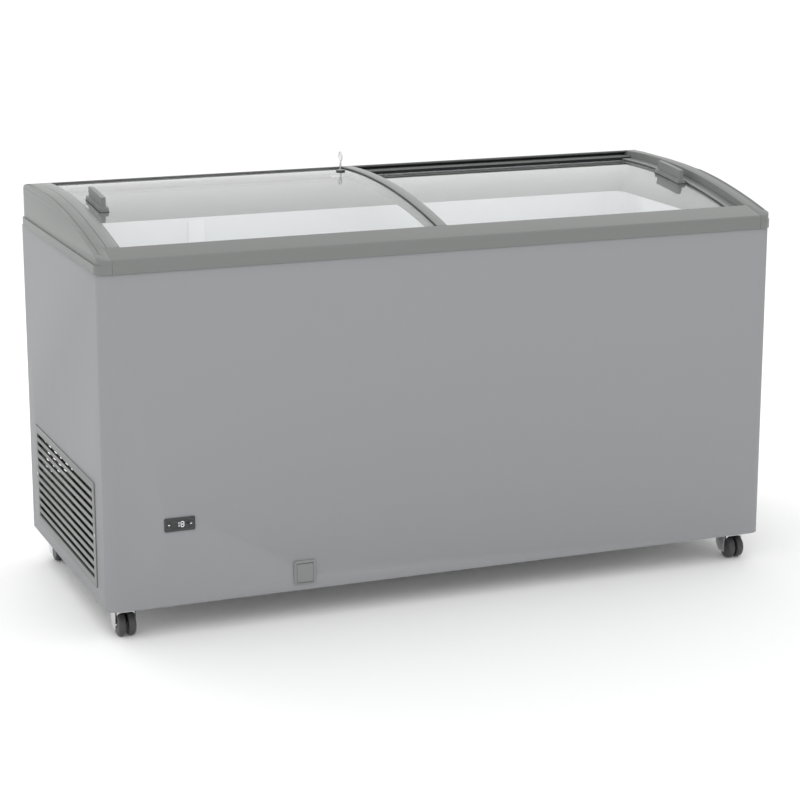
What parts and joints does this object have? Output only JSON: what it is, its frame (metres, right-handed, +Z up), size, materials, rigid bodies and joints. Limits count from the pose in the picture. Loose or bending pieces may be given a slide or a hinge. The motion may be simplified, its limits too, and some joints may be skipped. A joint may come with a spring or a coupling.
{
  "type": "chest freezer",
  "caption": "Chest freezer with curved sliding glass lids on two track levels, raised grey frame, lid lock, side vent grille, thermostat, drain outlet and hooded twin-wheel castors.",
  "frame": {"origin": "on the floor, under the middle of the freezer's overall box", "axes": "+X along the length to the right of a user who stands in front, +Y from the front to the rear, +Z up"},
  "size_m": [1.551, 0.677, 0.9162],
  "materials": {
    "wrap_paint": "satin",
    "galvanised": "satin",
    "foam": "matte",
    "liner_white": "satin",
    "tube_aluminium": "satin",
    "frame_grey": "satin",
    "collar_grey": "satin",
    "cover_white": "satin",
    "track_black": "matte",
    "lid_glass": "polished",
    "lid_profile": "satin",
    "slider": "satin",
    "handle_grey": "satin",
    "lock_metal": "polished",
    "key_steel": "polished",
    "grille_grey": "satin",
    "screw_steel": "polished",
    "controller_black": "satin",
    "display_smoke": "gloss",
    "button_grey": "satin",
    "drain_grey": "satin",
    "pipe_grey": "matte",
    "compressor_black": "satin",
    "grommet_rubber": "matte",
    "relay_grey": "matte",
    "fin_aluminium": "satin",
    "motor_grey": "satin",
    "fan_grey": "satin",
    "copper": "satin",
    "inlet_black": "matte",
    "castor_chrome": "polished",
    "wheel_grey": "satin"
  },
  "bodies": {
    "cabinet": {"outer_wrap": "wrap_paint", "rear_panel": "galvanised", "base_pan": "galvanised", "inner_liner": "liner_white", "insulation_foam": "foam", "evaporator_coil": "tube_aluminium", "drain_tube": "pipe_grey", "inner_collar": "collar_grey", "probe_cover": "cover_white", "front_rail": "frame_grey", "rear_rail": "frame_grey", "left_end_cap": "frame_grey", "right_end_cap": "frame_grey", "track_seals": "track_black", "side_grille": "grille_grey", "grille_screws": "screw_steel", "thermostat_housing": "controller_black", "thermostat_window": "display_smoke", "drain_bezel": "drain_grey", "condenser": "fin_aluminium", "fan_shroud": "galvanised", "fan_motor": "motor_grey", "compressor": "compressor_black", "compressor_feet": "grommet_rubber", "compressor_relay_box": "relay_grey", "refrigerant_pipes": "copper", "mains_inlet": "inlet_black", "castor_plates": "galvanised"},
    "left_lid": {"left_lid_glass": "lid_glass", "left_lid_outer_profile": "lid_profile", "left_lid_middle_profile": "lid_profile", "left_lid_runners": "slider", "left_lid_handle": "handle_grey", "lock_housing": "lock_metal"},
    "lock_barrel": {"lock_plug": "lock_metal", "lock_key": "key_steel", "lock_cam": "lock_metal"},
    "right_lid": {"right_lid_glass": "lid_glass", "right_lid_outer_profile": "lid_profile", "right_lid_middle_profile": "lid_profile", "right_lid_runners": "slider", "right_lid_handle": "handle_grey"},
    "drain_flap": {"drain_flap": "drain_grey"},
    "thermostat_button_left": {"thermostat_button_left": "button_grey"},
    "thermostat_button_right": {"thermostat_button_right": "button_grey"},
    "fan_rotor": {"fan_rotor": "fan_grey"},
    "castor_front_left": {"castor_front_left_hood": "castor_chrome"},
    "castor_front_left_left_wheel": {"castor_front_left_left_wheel": "wheel_grey"},
    "castor_front_left_right_wheel": {"castor_front_left_right_wheel": "wheel_grey"},
    "castor_front_right": {"castor_front_right_hood": "castor_chrome"},
    "castor_front_right_left_wheel": {"castor_front_right_left_wheel": "wheel_grey"},
    "castor_front_right_right_wheel": {"castor_front_right_right_wheel": "wheel_grey"},
    "castor_rear_left": {"castor_rear_left_hood": "castor_chrome"},
    "castor_rear_left_left_wheel": {"castor_rear_left_left_wheel": "wheel_grey"},
    "castor_rear_left_right_wheel": {"castor_rear_left_right_wheel": "wheel_grey"},
    "castor_rear_right": {"castor_rear_right_hood": "castor_chrome"},
    "castor_rear_right_left_wheel": {"castor_rear_right_left_wheel": "wheel_grey"},
    "castor_rear_right_right_wheel": {"castor_rear_right_right_wheel": "wheel_grey"}
  },
  "joints": [
    {"name": "left_lid_slide", "type": "slide", "parent": "cabinet", "child": "left_lid", "axis": [1, 0, 0], "range_m": [0, 0.675]},
    {"name": "right_lid_slide", "type": "slide", "parent": "cabinet", "child": "right_lid", "axis": [1, 0, 0], "range_m": [-0.675, 0]},
    {"name": "lock_turn", "type": "hinge", "parent": "left_lid", "child": "lock_barrel", "pos_m": [-0.039, 0.2465, 0.86921], "axis": [0, 0.0277, 0.9996], "range_deg": [0, 90]},
    {"name": "drain_flap_hinge", "type": "hinge", "parent": "cabinet", "child": "drain_flap", "pos_m": [-0.341, -0.33675, 0.1233], "axis": [-1, 0, 0], "range_deg": [0, 85]},
    {"name": "thermostat_left_press", "type": "slide", "parent": "cabinet", "child": "thermostat_button_left", "axis": [0, 1, 0], "range_m": [0, 0.001], "stiffness_N_per_m": 400},
    {"name": "thermostat_right_press", "type": "slide", "parent": "cabinet", "child": "thermostat_button_right", "axis": [0, 1, 0], "range_m": [0, 0.001], "stiffness_N_per_m": 400},
    {"name": "fan_spin", "type": "hinge", "parent": "cabinet", "child": "fan_rotor", "pos_m": [-0.6935, -0.12, 0.1835], "axis": [1, 0, 0], "continuous": true},
    {"name": "castor_front_left_swivel", "type": "hinge", "parent": "cabinet", "child": "castor_front_left", "pos_m": [-0.7255, -0.2775, 0.066], "axis": [0, 0, 1], "continuous": true},
    {"name": "castor_front_left_left_wheel_spin", "type": "hinge", "parent": "castor_front_left", "child": "castor_front_left_left_wheel", "pos_m": [-0.73625, -0.2905, 0.025], "axis": [1, 0, 0], "continuous": true},
    {"name": "castor_front_left_right_wheel_spin", "type": "hinge", "parent": "castor_front_left", "child": "castor_front_left_right_wheel", "pos_m": [-0.71475, -0.2905, 0.025], "axis": [1, 0, 0], "continuous": true},
    {"name": "castor_front_right_swivel", "type": "hinge", "parent": "cabinet", "child": "castor_front_right", "pos_m": [0.7255, -0.2775, 0.066], "axis": [0, 0, 1], "continuous": true},
    {"name": "castor_front_right_left_wheel_spin", "type": "hinge", "parent": "castor_front_right", "child": "castor_front_right_left_wheel", "pos_m": [0.71475, -0.2905, 0.025], "axis": [1, 0, 0], "continuous": true},
    {"name": "castor_front_right_right_wheel_spin", "type": "hinge", "parent": "castor_front_right", "child": "castor_front_right_right_wheel", "pos_m": [0.73625, -0.2905, 0.025], "axis": [1, 0, 0], "continuous": true},
    {"name": "castor_rear_left_swivel", "type": "hinge", "parent": "cabinet", "child": "castor_rear_left", "pos_m": [-0.7255, 0.2775, 0.066], "axis": [0, 0, 1], "continuous": true},
    {"name": "castor_rear_left_left_wheel_spin", "type": "hinge", "parent": "castor_rear_left", "child": "castor_rear_left_left_wheel", "pos_m": [-0.73625, 0.2645, 0.025], "axis": [1, 0, 0], "continuous": true},
    {"name": "castor_rear_left_right_wheel_spin", "type": "hinge", "parent": "castor_rear_left", "child": "castor_rear_left_right_wheel", "pos_m": [-0.71475, 0.2645, 0.025], "axis": [1, 0, 0], "continuous": true},
    {"name": "castor_rear_right_swivel", "type": "hinge", "parent": "cabinet", "child": "castor_rear_right", "pos_m": [0.7255, 0.2775, 0.066], "axis": [0, 0, 1], "continuous": true},
    {"name": "castor_rear_right_left_wheel_spin", "type": "hinge", "parent": "castor_rear_right", "child": "castor_rear_right_left_wheel", "pos_m": [0.71475, 0.2645, 0.025], "axis": [1, 0, 0], "continuous": true},
    {"name": "castor_rear_right_right_wheel_spin", "type": "hinge", "parent": "castor_rear_right", "child": "castor_rear_right_right_wheel", "pos_m": [0.73625, 0.2645, 0.025], "axis": [1, 0, 0], "continuous": true}
  ]
}
